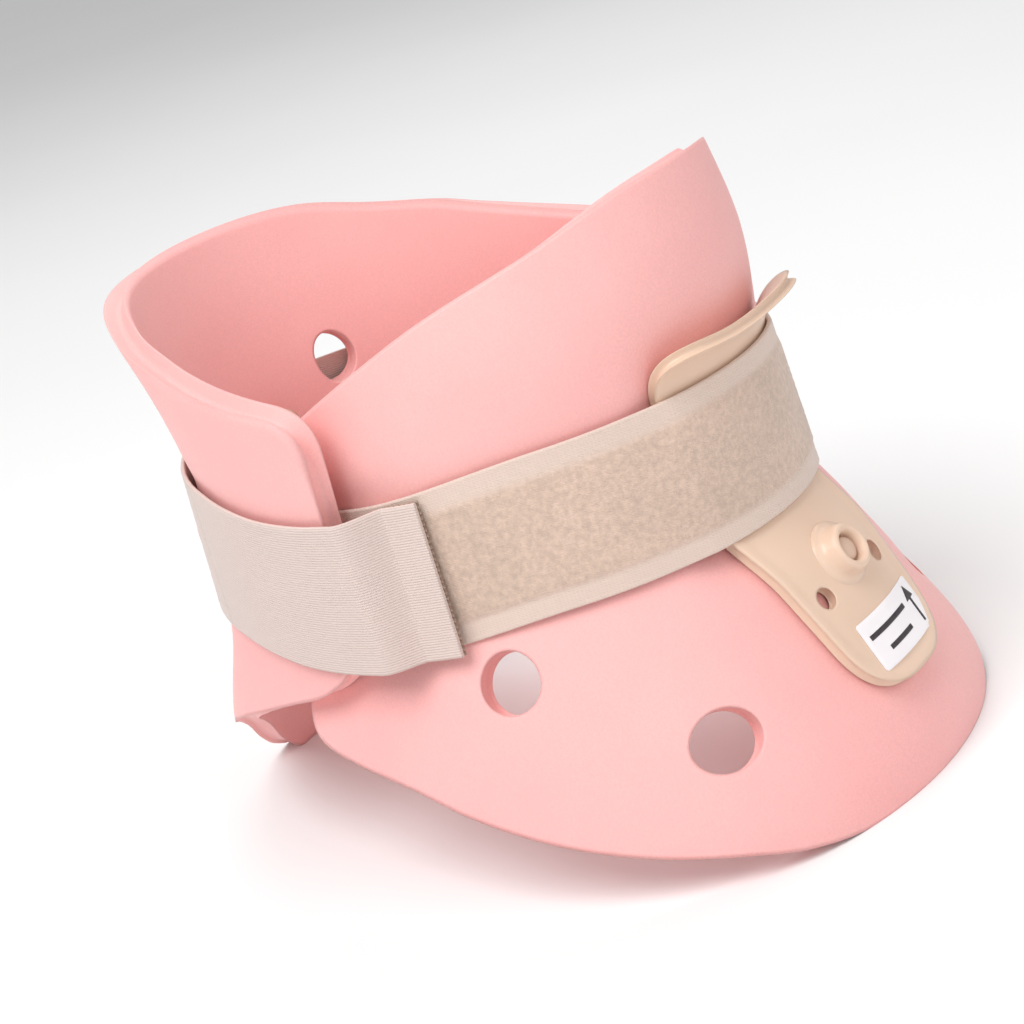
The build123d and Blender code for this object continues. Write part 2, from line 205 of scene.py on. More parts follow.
def triangulate(loops, spacing):
    """Even triangles inside the first loop and outside the others."""
    low, high = loops[0].min(0), loops[0].max(0)
    rows = []
    for k, y in enumerate(np.arange(low[1], high[1], spacing * 0.87)):
        xs = np.arange(low[0] + (k % 2) * spacing / 2, high[0], spacing)
        rows.append(np.stack([xs, np.full_like(xs, y)], 1))
    grid = np.vstack(rows)
    keep = contains(loops[0], grid)
    for hole in loops[1:]:
        keep &= ~contains(hole, grid)
    grid = grid[keep]
    for loop in loops:
        grid = grid[nearest(grid, loop) > spacing * 0.55]
    points = [Vector(p) for p in np.vstack(loops + [grid])]
    edges, start = [], 0
    for loop in loops:
        n = len(loop)
        edges += [(start + i, start + (i + 1) % n) for i in range(n)]
        start += n
    found = delaunay_2d_cdt(points, edges, [], 0, 1e-5, True)
    flat = np.array([tuple(v) for v in found[0]])
    order = {}
    for new, olds in enumerate(found[3]):
        for old in olds:
            order[old] = new
    faces = np.array([f for f in found[2] if len(f) == 3])
    middle = flat[faces].mean(1)
    keep = contains(loops[0], middle)
    for hole in loops[1:]:
        keep &= ~contains(hole, middle)
    return flat, faces[keep], order


def cut_sheet(name, place, outline, thickness, edge, holes=(), hole_edge=0.5, spacing=2.4, steps=5):
    """A solid sheet. place(places, depth) gives points; edge is the rounding, one value or one a point."""
    loops = [outline if area(outline) > 0 else outline[::-1]]
    edges = [np.broadcast_to(np.asarray(edge, float), (len(outline),)).copy()]
    if area(outline) < 0:
        edges[0] = edges[0][::-1]
    for hole in holes:
        loops.append(hole if area(hole) < 0 else hole[::-1])
        edges.append(np.full(len(hole), float(hole_edge)))
    insides = [inward(loop) for loop in loops]
    inset = [loop + normal * e[:, None] for loop, normal, e in zip(loops, insides, edges)]
    flat, faces, order = triangulate(inset, spacing)
    count = len(flat)
    verts = [place(flat, np.zeros(count)), place(flat, np.full(count, thickness))]
    polygons = [tuple(f) for f in faces] + [tuple(count + i for i in f[::-1]) for f in faces]
    at, start = 2 * count, 0
    for loop, normal, e in zip(loops, insides, edges):
        n = len(loop)
        rim = np.array([order[start + i] for i in range(n)])
        start += n
        rings = [rim]
        turns = np.linspace(pi / 2, 0, steps + 1)[1:]
        depths = [(1 - np.sin(a), e * (1 - np.cos(pi / 2 - a))) for a in turns]
        profile = [(e * back, depth) for back, depth in depths]
        profile += [(e * back, thickness - depth) for back, depth in reversed(depths)]
        for back, depth in profile:
            verts.append(place(loop + normal * np.asarray(back)[:, None], depth))
            rings.append(np.arange(at, at + n))
            at += n
        rings.append(rim + count)
        for a, b in zip(rings, rings[1:]):
            for i in range(n):
                j = (i + 1) % n
                polygons.append((a[i], b[i], b[j], a[j]))
    world = to_world(np.vstack(verts))
    world[:, 2] = np.maximum(world[:, 2], 0)        # the feet rest flat
    return make_mesh(name, world, polygons)


def make_mesh(name, points, polygons, uv=None):
    """A smooth-shaded object, with its normals outward."""
    mesh = bpy.data.meshes.new(name)
    mesh.from_pydata([tuple(p) for p in points], [], [tuple(int(i) for i in f) for f in polygons])
    if uv is not None:
        layer = mesh.uv_layers.new(name="flat")
        loops = np.zeros(len(mesh.loops), np.int32)
        mesh.loops.foreach_get("vertex_index", loops)
        layer.data.foreach_set("uv", np.asarray(uv, np.float32)[loops].ravel())
    work = bmesh.new()
    work.from_mesh(mesh)
    bmesh.ops.remove_doubles(work, verts=work.verts, dist=1e-7)
    bmesh.ops.recalc_face_normals(work, faces=work.faces)
    work.to_mesh(mesh)
    work.free()
    mesh.polygons.foreach_set("use_smooth", [face.loop_total <= 4 for face in mesh.polygons])
    thing = bpy.data.objects.new(name, mesh)
    bpy.context.scene.collection.objects.link(thing)
    return thing


def place_on(wall, dents=None):
    """How a foam sheet lies on its wall, with dents pressed in by the strap."""
    def place(places, depth):
        push = 0 if dents is None else dents(places) * (1 - np.asarray(depth) / FOAM)
        return wall.offset(places, -np.asarray(depth, float) - push)
    return place


def oval_hole(wall, turn, height, wide, tall):
    """The outline of a vent hole, in the wall's places."""
    centre = np.array([radians(turn) * ARC, height])
    step = 0.5
    across = wall.point(centre + [step, 0]) - wall.point(centre - [step, 0])
    up = wall.point(centre + [0, step]) - wall.point(centre - [0, step])
    scale = np.array([np.linalg.norm(across), np.linalg.norm(up)]) / (2 * step)
    a = np.linspace(0, 2 * pi, 48, endpoint=False)
    return centre + np.stack([np.cos(a) * wide / 2, np.sin(a) * tall / 2], 1) / scale


def trace(wall, curve, turns):
    """Where an edge lies on the wall, for each turn: curve gives its height at a point."""
    height = np.zeros_like(turns)
    for _ in range(80):
        point = wall.point(np.stack([turns * ARC, height], 1))
        height = 0.5 * height + 0.5 * curve(point)
    return np.stack([turns * ARC, height], 1)


def turn_at(wall, along, height):
    """How far round the wall a side-view point lies."""
    reach = wall.profile(height)[..., 1]
    return np.arccos(np.clip((np.asarray(along) - wall.centre) / (wall.forward * reach), -1, 1))


def shell_outline(wall, top, bottom, edge_low, edge_high, corner_radii, spacing=1.6):
    """A shell's outline: top edge, one side edge, bottom edge, other side edge."""
    side = np.linspace(0, 1, 50)[:, None]
    line = np.array(edge_high) * (1 - side) + np.array(edge_low) * side
    turns = turn_at(wall, line[:, 0], line[:, 1])
    right = np.stack([turns * ARC, line[:, 1]], 1)
    over = trace(wall, top, np.linspace(-turns[0], turns[0], 160))
    under = trace(wall, bottom, np.linspace(turns[-1], -turns[-1], 160))
    left = right[::-1] * [-1, 1]
    loop = resample(np.vstack([over, right[1:-1], under, left[1:-1]]), 0.5)
    for corner, radius in ((over[-1], corner_radii[0]), (under[0], corner_radii[1])):
        for side_sign in (1, -1):
            loop = round_corner(loop, corner * [side_sign, 1], radius)
            loop = resample(loop, 0.5)
    return resample(loop, spacing)


# ---- materials ----
def colour(red, green, blue):
    """Screen colour to the linear colour that nodes take."""
    return [(c / 12.92 if c <= 0.04045 else ((c + 0.055) / 1.055) ** 2.4) for c in (red, green, blue)] + [1]


class Nodes:
    """A small builder for one material's nodes."""

    def __init__(self, name):
        self.material = bpy.data.materials.new(name)
        self.material.use_nodes = True
        self.tree = self.material.node_tree
        self.surface = self.tree.nodes["Principled BSDF"]
        self.coords = self.tree.nodes.new("ShaderNodeTexCoord")

    def add(self, kind, inputs=None, **settings):
        node = self.tree.nodes.new(kind)
        for key, value in settings.items():
            setattr(node, key, value)
        for key, value in (inputs or {}).items():
            self.put(value, node.inputs[key])
        return node

    def put(self, value, socket):
        if isinstance(value, bpy.types.NodeSocket):
            self.tree.links.new(value, socket)
        else:
            socket.default_value = value

    def noise(self, scale, detail=3, rough=0.5, vector=None):
        vector = vector or self.coords.outputs["Object"]
        node = self.add("ShaderNodeTexNoise", {"Vector": vector, "Scale": scale, "Detail": detail,
                                               "Roughness": rough})
        return node.outputs["Fac"]

    def ramp(self, value, stops):
        node = self.add("ShaderNodeValToRGB", {"Fac": value})
        elements = node.color_ramp.elements
        while len(elements) < len(stops):
            elements.new(0.5)
        for element, (position, shade) in zip(elements, stops):
            element.position = position
            element.color = shade if len(shade) == 4 else [*shade, 1]
        return node.outputs["Color"]

    def math(self, operation, a, b=0.0):
        node = self.add("ShaderNodeMath", operation=operation)
        self.put(a, node.inputs[0])
        self.put(b, node.inputs[1])
        return node.outputs[0]

    def mix(self, share, a, b):
        node = self.add("ShaderNodeMix", data_type="RGBA")
        self.put(share, node.inputs["Factor"])
        self.put(a, node.inputs[6])
        self.put(b, node.inputs[7])
        return node.outputs[2]

    def multiply(self, a, b):
        node = self.add("ShaderNodeMix", data_type="RGBA", blend_type="MULTIPLY")
        self.put(1.0, node.inputs["Factor"])
        self.put(a, node.inputs[6])
        self.put(b, node.inputs[7])
        return node.outputs[2]

    def bump(self, height, distance, strength=1.0, under=None):
        inputs = {"Height": height, "Distance": distance, "Strength": strength}
        if under is not None:
            inputs["Normal"] = under
        return self.add("ShaderNodeBump", inputs).outputs["Normal"]

    def finish(self, **values):
        for key, value in values.items():
            self.put(value, self.surface.inputs[key.replace("_", " ")])
        return self.material


def foam_material():
    n = Nodes("foam")
    patches = n.noise(14, 3)
    base = n.ramp(patches, [(0.3, colour(0.965, 0.695, 0.685)), (0.7, colour(0.978, 0.74, 0.725))])
    cells = n.ramp(n.noise(1900, 2, 0.6), [(0.35, (0.93,) * 3), (0.65, (1.0,) * 3)])
    grain = n.noise(2600, 2, 0.6)
    dimples = n.noise(420, 3, 0.55)
    normal = n.bump(grain, 0.00006, 0.5)
    normal = n.bump(dimples, 0.00012, 0.35, normal)
    rough = n.ramp(n.noise(60, 3), [(0.3, (0.50,) * 3), (0.7, (0.62,) * 3)])
    return n.finish(Base_Color=n.multiply(base, cells), Roughness=rough, Normal=normal, Subsurface_Weight=0.1,
                    Subsurface_Radius=(0.004, 0.0015, 0.001), Subsurface_Scale=0.5,
                    Sheen_Weight=0.06, Sheen_Roughness=0.5)


def plastic_material():
    n = Nodes("strut_plastic")
    base = n.ramp(n.noise(30, 3), [(0.3, colour(0.885, 0.765, 0.675)), (0.7, colour(0.905, 0.79, 0.705))])
    normal = n.bump(n.noise(1300, 2), 0.00004, 0.4)
    rough = n.ramp(n.noise(90, 4), [(0.35, (0.30,) * 3), (0.65, (0.42,) * 3)])
    return n.finish(Base_Color=base, Roughness=rough, Normal=normal, Subsurface_Weight=0.08,
                    Subsurface_Radius=(0.003, 0.002, 0.001), Subsurface_Scale=0.5)


def pin_material():
    n = Nodes("rivet_plastic")
    base = n.ramp(n.noise(60, 3), [(0.3, colour(0.84, 0.72, 0.63)), (0.7, colour(0.88, 0.76, 0.68))])
    rough = n.ramp(n.noise(200, 3), [(0.3, (0.25,) * 3), (0.7, (0.36,) * 3)])
    return n.finish(Base_Color=base, Roughness=rough, Normal=n.bump(n.noise(900, 2), 0.00003, 0.4))


def across_tape(n):
    """Millimetres along and across a tape."""
    split = n.add("ShaderNodeSeparateXYZ", {"Vector": n.coords.outputs["UV"]})
    return split.outputs["X"], split.outputs["Y"]


def threads(n, along, across, warp_pitch, weft_pitch):
    """Height of a plain weave: rounded threads, over and under."""
    u = n.math("MULTIPLY", along, 2 * pi / weft_pitch)
    v = n.math("MULTIPLY", across, 2 * pi / warp_pitch)
    weft = n.math("ABSOLUTE", n.math("SINE", n.math("MULTIPLY", u, 0.5)))
    warp = n.math("ABSOLUTE", n.math("SINE", n.math("MULTIPLY", v, 0.5)))
    over = n.math("MULTIPLY", n.math("SINE", u), n.math("SINE", v))
    return n.math("ADD", n.math("MAXIMUM", weft, warp), n.math("MULTIPLY", over, 0.5))


def webbing_material():
    n = Nodes("webbing")
    along, across = across_tape(n)
    rib = n.math("ABSOLUTE", n.math("SINE", n.math("MULTIPLY", across, pi / 0.62)))
    slub = n.noise(900, 3, 0.6)
    weave = n.math("ADD", n.math("MULTIPLY", rib, 0.7), n.math("MULTIPLY", slub, 0.5))
    dark, light = colour(0.79, 0.72, 0.69), colour(0.885, 0.815, 0.79)
    base = n.mix(n.math("MULTIPLY", weave, 0.6), dark, light)
    base = n.mix(n.math("MULTIPLY", n.noise(25, 3), 0.5), base, colour(0.86, 0.78, 0.74))
    fuzz = n.noise(3000, 3, 0.7)
    normal = n.bump(weave, 0.00016, 0.9)
    normal = n.bump(fuzz, 0.00008, 0.5, normal)
    return n.finish(Base_Color=base, Roughness=0.75, Normal=normal, Sheen_Weight=0.25,
                    Sheen_Roughness=0.4)


def loop_material():
    n = Nodes("loop_tape")
    along, across = across_tape(n)
    rim = n.math("ABSOLUTE", across)
    selvedge = n.add("ShaderNodeMapRange", {"Value": rim, "From Min": STRAP_WIDTH / 2 - 6.4,
                                            "From Max": STRAP_WIDTH / 2 - 4.2}).outputs["Result"]
    drift = n.noise(40, 3, 0.6)
    clumps = n.noise(700, 4, 0.65)
    fibres = n.noise(2200, 4, 0.75)
    pile = n.ramp(drift, [(0.35, colour(0.825, 0.725, 0.655)), (0.65, colour(0.865, 0.755, 0.685))])
    tufts = n.ramp(clumps, [(0.36, (0.80,) * 3), (0.64, (1.0,) * 3)])
    flecks = n.ramp(fibres, [(0.62, (0, 0, 0)), (0.74, (1, 1, 1))])
    pile = n.mix(n.math("MULTIPLY", flecks, 0.6), n.multiply(pile, tufts), colour(0.95, 0.89, 0.83))
    weave = threads(n, along, across, 0.7, 0.9)
    edge = n.mix(n.math("MULTIPLY", weave, 0.5), colour(0.84, 0.75, 0.70), colour(0.885, 0.81, 0.76))
    base = n.mix(selvedge, pile, edge)
    height = n.math("ADD", n.math("MULTIPLY", clumps, 0.7), n.math("MULTIPLY", fibres, 0.5))
    normal = n.bump(height, 0.0003, 0.8)
    normal = n.bump(weave, 0.0001, 0.4, normal)
    return n.finish(Base_Color=base, Roughness=0.9, Normal=normal, Sheen_Weight=0.5,
                    Sheen_Roughness=0.5)


def hook_material():
    n = Nodes("hook_tape")
    along, across = across_tape(n)
    hooks = threads(n, along, across, 1.4, 1.4)
    base = n.mix(n.math("MULTIPLY", hooks, 0.5), colour(0.62, 0.50, 0.43), colour(0.76, 0.67, 0.61))
    return n.finish(Base_Color=base, Roughness=0.5, Normal=n.bump(hooks, 0.0006, 1.0))


def label_material():
    n = Nodes("label")
    base = n.ramp(n.noise(40, 3), [(0.3, colour(0.95, 0.93, 0.94)), (0.7, colour(0.98, 0.96, 0.97))])
    return n.finish(Base_Color=base, Roughness=0.35, Normal=n.bump(n.noise(700, 2), 0.00002, 0.5))


def ink_material():
    n = Nodes("label_ink")
    base = n.ramp(n.noise(900, 3), [(0.3, colour(0.16, 0.13, 0.15)), (0.7, colour(0.26, 0.22, 0.24))])
    return n.finish(Base_Color=base, Roughness=0.5)


MATERIALS = {
    "foam": foam_material(), "strut_plastic": plastic_material(), "rivet_plastic": pin_material(),
    "webbing": webbing_material(), "loop_tape": loop_material(), "hook_tape": hook_material(),
    "label": label_material(), "ink": ink_material(),
}


def dress(thing, material, body=None, nodes=()):
    """Gives a piece its material, its body and the CAD nodes that it stands for."""
    thing.data.materials.clear()
    thing.data.materials.append(MATERIALS[material])
    if nodes:
        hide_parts(*nodes)
    if body:
        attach(thing, body)
    return thing


# ---- foam shells ----
def seen_from_side(points):
    """An edge drawn in side view, as (along, height) points."""
    line = smooth_curve(points)
    return lambda at: line(at[..., 1])[..., 0]


jaw = seen_from_side([(-100, 69), (-79, 68.2), (-60, 61.5), (-36, 54), (-20, 47.5), (0, 38.5), (10, 33.5)])
hem = seen_from_side([(-120, -87.6), (-100, -87.4), (-91, -84), (-81, -79), (-58, -70.3), (-43, -64.6),
                      (-24, -56.8), (-8, -49.9), (19, -42), (34, -37)])
rim = seen_from_side([(-12, 41.5), (2, 44.5), (18, 48.8), (31, 53), (41, 56.8), (51, 59.5), (59, 62),
                      (71, 66.8), (80, 69), (92, 70.5)])
arch = seen_from_side([(-14, -25.5), (-2, -26.5), (9.8, -27.5), (19.9, -29.4), (33.4, -32.5),
                       (50.9, -37.5), (61, -41.2), (75, -50)])
base = smooth_curve([(-10, -73), (0, -76.5), (11, -72.3), (18, -66.6), (25, -59.4), (33, -54),
                     (42, -49.5), (56, -41.3), (70, -33)])
BASE_HALF_WIDTH = 56.0          # the base narrows to a tongue inside this


def rear_hem(at):
    """The rear shell's lower edge: arched at the sides, narrowing to a tongue at the back."""
    across = np.abs(at[..., 0])
    tongue = (across < BASE_HALF_WIDTH) & (at[..., 1] > 0)
    return np.where(tongue, base(across)[..., 0], arch(at))


STRUT_SINK = 2.4                # how far the strap presses the front strut into the foam
SINK_HEIGHTS = (15, 34)         # all of it within the first height, none beyond the second
DENT_DEPTH = 0.5
DENT_HEIGHT, DENT_SPREAD = 17, 4.5      # from the strap's middle


def sink(height):
    """How deep the front strut is pressed in at a height."""
    return STRUT_SINK * (1 - smoothstep(*SINK_HEIGHTS, np.abs(height)))


def dents(centre):
    """The strap presses the foam in a little along its edges. centre gives its height at a turn."""
    def depth(places):
        height = np.abs(places[:, 1] - centre(places[:, 0] / ARC))
        return DENT_DEPTH * np.exp(-((height - DENT_HEIGHT) / DENT_SPREAD) ** 2)
    return depth


def oval_radius(half_width, reach, turn, ahead=0.0):
    """How far an oval is from a point on its axis; ahead is how far its centre is from there."""
    a = (np.cos(turn) / reach) ** 2 + (np.sin(turn) / half_width) ** 2
    b = -2 * np.cos(turn) * ahead / reach**2
    c = (ahead / reach) ** 2 - 1
    return (-b + np.sqrt(b * b - 4 * a * c)) / (2 * a)


strap_line = smooth_curve([(-30, -3.5), (-18, -3.2), (-10, -2.5), (0, -1.9), (14, -0.3), (28, 2.4),
                           (41, 4.9), (75, 8.0), (90, 8.6)])
STRAP_OVAL = (77.0, 89.0)       # half width and reach of the strap's middle line


def strap_height(turn):
    """The strap climbs towards the back. This is the height of its middle."""
    along = REAR_CENTRE + np.cos(turn) * oval_radius(*STRAP_OVAL, turn)
    return strap_line(along)[..., 0]


FOAM_EDGE, REAR_EDGE, VENT_EDGE = 1.1, 1.2, 0.7     # rounding
RIM_EDGE = 1.9                          # more on the rear shell's rolled rim
HOLLOW_DEPTH = 0.3                      # the foam is hollow this far under the front strut
HOLLOW_SIDES = (24, 40)                 # and the hollow ends between these, to each side
FRONT_VENTS = [(67.5, -31, 14.4, 15), (37, -55.5, 17.6, 14.4)]   # degrees round, height, wide, tall
REAR_VENT_TURN, REAR_VENT_HEIGHT, REAR_VENT_SIZE = 22, 27, 13

front_outline = shell_outline(front_wall, jaw, hem, (28, -39.5), (8.5, 34.5), (5, 8))
front_vents = [oval_hole(front_wall, side * turn, height, wide, tall)
               for side in (-1, 1) for turn, height, wide, tall in FRONT_VENTS]


def front_dents(places):
    """The strap's dents, and the hollow that the strut is pressed into."""
    beside = np.abs(places[:, 0])
    hollow = (sink(places[:, 1]) + HOLLOW_DEPTH) * (1 - smoothstep(*HOLLOW_SIDES, beside))
    return dents(lambda turn: 0.0)(places) + hollow


front_shell = cut_sheet("front_foam", place_on(front_wall, front_dents), front_outline, FOAM,
                        FOAM_EDGE, front_vents, VENT_EDGE)
dress(front_shell, "foam", "front", ["front_shell"])

rear_outline = shell_outline(rear_wall, rim, rear_hem, (-2, -26.5), (-10.5, 42), (10, 18))
rear_vents = [oval_hole(rear_wall, side * REAR_VENT_TURN, REAR_VENT_HEIGHT, REAR_VENT_SIZE, REAR_VENT_SIZE)
              for side in (-1, 1)]
on_rim = smoothstep(20, 36, rear_outline[:, 1])
rear_shell = cut_sheet("rear_foam", place_on(rear_wall, dents(strap_height)), rear_outline, FOAM,
                       REAR_EDGE + RIM_EDGE * on_rim, rear_vents, VENT_EDGE)
dress(rear_shell, "foam", "rear", ["rear_shell"])


# ---- tapes ----
def tape(name, edge_at, fractions, thickness, lift=None):
    """A tape and its length. edge_at(fraction, height) gives its inner face in collar millimetres."""
    half = STRAP_WIDTH / 2
    round_by = thickness / 2
    across = np.linspace(-half + round_by, half - round_by, 61)
    turn = np.linspace(-pi / 2, pi / 2, 7)[1:-1]
    outer = [(v, thickness) for v in across]
    top = [(half - round_by + round_by * cos(a), round_by - round_by * sin(a)) for a in turn]
    inner = [(v, 0) for v in across[::-1]]
    low = [(-half + round_by - round_by * cos(a), round_by + round_by * sin(a)) for a in turn]
    section = np.array(outer + top + inner + low)
    v, rise = section[:, 0], section[:, 1]
    f = np.asarray(fractions)[:, None]
    grid_v = np.broadcast_to(v, (len(fractions), len(v)))
    grid_f = np.broadcast_to(f, grid_v.shape)
    base = edge_at(grid_f, grid_v)
    step = 0.002
    along = edge_at(grid_f + step, grid_v) - edge_at(grid_f - step, grid_v)
    up = edge_at(grid_f, grid_v + 0.5) - edge_at(grid_f, grid_v - 0.5)
    out = np.cross(along, up)
    out /= np.linalg.norm(out, axis=-1, keepdims=True)
    radial = base * [1, 1, 0] + [0, 3, 0]           # away from the middle of the neck
    out *= np.sign((out * radial).sum(-1, keepdims=True))
    middle = edge_at(f, np.zeros_like(f))[:, 0]
    run = np.concatenate([[0], np.cumsum(np.linalg.norm(np.diff(middle, axis=0), axis=1))])
    extra = np.zeros_like(grid_v) if lift is None else lift(run[:, None] + 0 * grid_v, grid_v)
    extra = extra * (rise > thickness * 0.99)       # on the outer face only
    points = base + out * (rise + extra)[..., None]
    rows, columns = grid_v.shape
    faces = []
    for i in range(rows - 1):
        for j in range(columns):
            k = (j + 1) % columns
            faces.append((i * columns + j, (i + 1) * columns + j, (i + 1) * columns + k, i * columns + k))
    faces.append(tuple(range(columns)))
    faces.append(tuple((rows - 1) * columns + j for j in reversed(range(columns))))
    uv = np.stack([np.broadcast_to(run[:, None], grid_v.shape), grid_v], -1).reshape(-1, 2)
    return make_mesh(name, to_world(points.reshape(-1, 3)), faces, uv), run[-1]


def tape_sizes(wall, height, gap, shift=0.0):
    """The tape is straight between its two edges, so its ovals go straight between theirs."""
    half = STRAP_WIDTH / 2
    shift = shift + np.zeros_like(height)
    low, high = wall.profile(shift - half), wall.profile(shift + half)
    share = ((height + half) / (2 * half))[..., None]
    size = low * (1 - share) + high * share
    return size[..., 0] + gap, size[..., 1] + gap


def over_strut(turn, strut_edge, wall_radius, sunk=0.0):
    """A tape lies on the foam, leaves it at a tangent and goes over the strut."""
    clear = PLATE + GAP - sunk
    leaves = strut_edge + np.sqrt(2 * clear / wall_radius)
    return np.minimum(clear, wall_radius / 2 * np.maximum(leaves - np.abs(turn), 0) ** 2)


LOOP_TURN = 101.0               # how far round from the front the loop tape reaches
LOOP_DROP = 3.4                 # it lies this much lower at its ends
DROP_ALONG = (-52, -8)          # from none of it to all of it, in side view
FRONT_STRUT_TURN, FRONT_STRUT_RADIUS = radians(20.5), 62.0      # the strut's edge, and the foam there
REAR_STRUT_TURN, REAR_STRUT_RADIUS = radians(14), 80.0


def loop_tape_at(f, v):
    half_width, reach = tape_sizes(front_wall, v, GAP)
    turn = np.radians(LOOP_TURN) * (2 * f - 1)
    radius = oval_radius(half_width, reach, turn)
    radius = radius + over_strut(turn, FRONT_STRUT_TURN, FRONT_STRUT_RADIUS, STRUT_SINK)
    along = FRONT_CENTRE - radius * np.cos(turn)
    return np.stack([radius * np.sin(turn), along, v - LOOP_DROP * smoothstep(*DROP_ALONG, along)], -1)


def hash_noise(u, v, scale, seed):
    """Repeatable noise at points, from -1 to 1."""
    flat_u, flat_v = np.ravel(u), np.ravel(v)
    values = [noise.noise(Vector((a * scale, b * scale, seed))) for a, b in zip(flat_u, flat_v)]
    return np.array(values).reshape(np.shape(u))


def pile(u, v):
    """The brushed pile stands above the plain selvedges."""
    inside = smoothstep(0, 1.2, STRAP_WIDTH / 2 - 5 - np.abs(v))
    return inside * (0.15 + 0.1 * hash_noise(u, v, 0.9, 3.0)) - 0.15 * (1 - inside)


loop_strap, loop_length = tape("front_loop_tape", loop_tape_at, np.linspace(0, 1, 260), LOOP_TAPE, pile)
dress(loop_strap, "loop_tape", "front", ["front_loop_strap"])

# the strap's places, in degrees round from the middle of the back
SEAM_TURN = 33.0                # the middle ends and each arm starts
SWING_TURN = 40.0               # a turn on the arm, where the real strap swings; nothing here moves it
TAB_TURN = 47.0                 # the arm ends and the tab starts
PEEL_TURN = 84.4                # a turn on the tab, where the real strap peels off; nothing here moves it
STEP_TURNS = (90.6, 97.4)       # the tab steps down off the rear panel
HOOK_TURN = 97.5                # the hook patch starts
TIP_TURN = 104.5
STRAP_GAP = 0.8
TAB_LIFT = 3 * GAP + LOOP_TAPE + HOOK_TAPE


def strap_radius(turn, v):
    """The strap lies on the rear shell, then steps down onto the loop tape."""
    rear_a, rear_b = tape_sizes(rear_wall, v, STRAP_GAP, strap_height(turn))
    front_a, front_b = tape_sizes(front_wall, v, TAB_LIFT, strap_height(turn))
    on_rear = oval_radius(rear_a, rear_b, turn) + over_strut(turn, REAR_STRUT_TURN, REAR_STRUT_RADIUS)
    on_front = oval_radius(front_a, front_b, turn, FRONT_CENTRE - REAR_CENTRE)
    step = smoothstep(*np.radians(STEP_TURNS), turn)
    return on_rear * (1 - step) + on_front * step


def strap_at(side, start_turn, end_turn):
    """The strap's inner face, from the back round one side."""
    def at(f, v):
        turn = np.radians(start_turn + (end_turn - start_turn) * f)
        radius = strap_radius(turn, v)
        return np.stack([side * radius * np.sin(turn), REAR_CENTRE + radius * np.cos(turn),
                         v + strap_height(turn)], -1)
    return at


def middle_strap_at(f, v):
    turn = np.radians(SEAM_TURN) * (2 * f - 1)
    radius = strap_radius(np.abs(turn), v)
    return np.stack([radius * np.sin(turn), REAR_CENTRE + radius * np.cos(turn),
                     v + strap_height(turn)], -1)


middle, middle_length = tape("rear_strap_tape", middle_strap_at, np.linspace(0, 1, 70), WEBBING)
dress(middle, "webbing", "rear", ["rear_strap"])

straps = {}
for name, side in (("left", 1), ("right", -1)):
    arm, arm_length = tape(f"{name}_arm_tape", strap_at(side, SEAM_TURN, TAB_TURN),
                           np.linspace(0, 1, 40), WEBBING)
    dress(arm, "webbing", nodes=[f"{name}_strap_arm"])
    tab, tab_length = tape(f"{name}_tab_tape", strap_at(side, TAB_TURN, TIP_TURN),
                           np.linspace(0, 1, 130), WEBBING)
    dress(tab, "webbing", nodes=[f"{name}_tab"])
    straps[name] = (arm, tab, side)


def strap_point(side, turn):
    """A point in the middle of the strap, in the part's metres."""
    at = strap_at(side, 0, 1)
    f = np.array([[float(turn)]])
    return tuple(to_world(at(f, np.zeros((1, 1)))[0, 0]))


for name, (arm, tab, side) in straps.items():
    strap_point(side, SWING_TURN - 5)
    strap_point(side, SWING_TURN + 5)
    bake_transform(arm)
    strap_point(side, PEEL_TURN - 4)
    strap_point(side, PEEL_TURN + 5)
    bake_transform(tab)


def hook_at(side):
    """The hook patch's inner face: under the end of the tab."""
    tab_face = strap_at(side, HOOK_TURN, TIP_TURN + 0.2)

    def at(f, v):
        face = tab_face(f, v)
        inward_way = (face - [0, REAR_CENTRE, 0]) * [1, 1, 0]
        inward_way /= np.linalg.norm(inward_way, axis=-1, keepdims=True)
        return face - inward_way * (HOOK_TAPE + 0.1)
    return at


for name, side in (("left", 1), ("right", -1)):
    hook, _ = tape(f"{name}_hook_tape", hook_at(side), np.linspace(0, 1, 24), HOOK_TAPE)
    dress(hook, "hook_tape", f"{name}_tab", [f"{name}_hook"])

washers = frame["nodes"]["rivet_washers"]
washers.data.materials.clear()
washers.data.materials.append(MATERIALS["rivet_plastic"])


# ---- moulded struts ----
LIP_START = 18.0
LIP_LENGTH = 17.0
LIP_TURN = radians(82)
LIP_NEAR_RISE, LIP_FAR_RISE = 1.5, 1.2      # the lip's corners stand up by these
LIP_FLARE = 0.35                            # and the far one reaches this share further out
lip_run = np.linspace(0, LIP_LENGTH, 80)
lip_angle = LIP_TURN * (lip_run / LIP_LENGTH) ** 1.15
lip_rise = np.concatenate([[0], np.cumsum(np.cos(lip_angle[1:]) * np.diff(lip_run))])
lip_out = np.concatenate([[0], np.cumsum(np.sin(lip_angle[1:]) * np.diff(lip_run))])


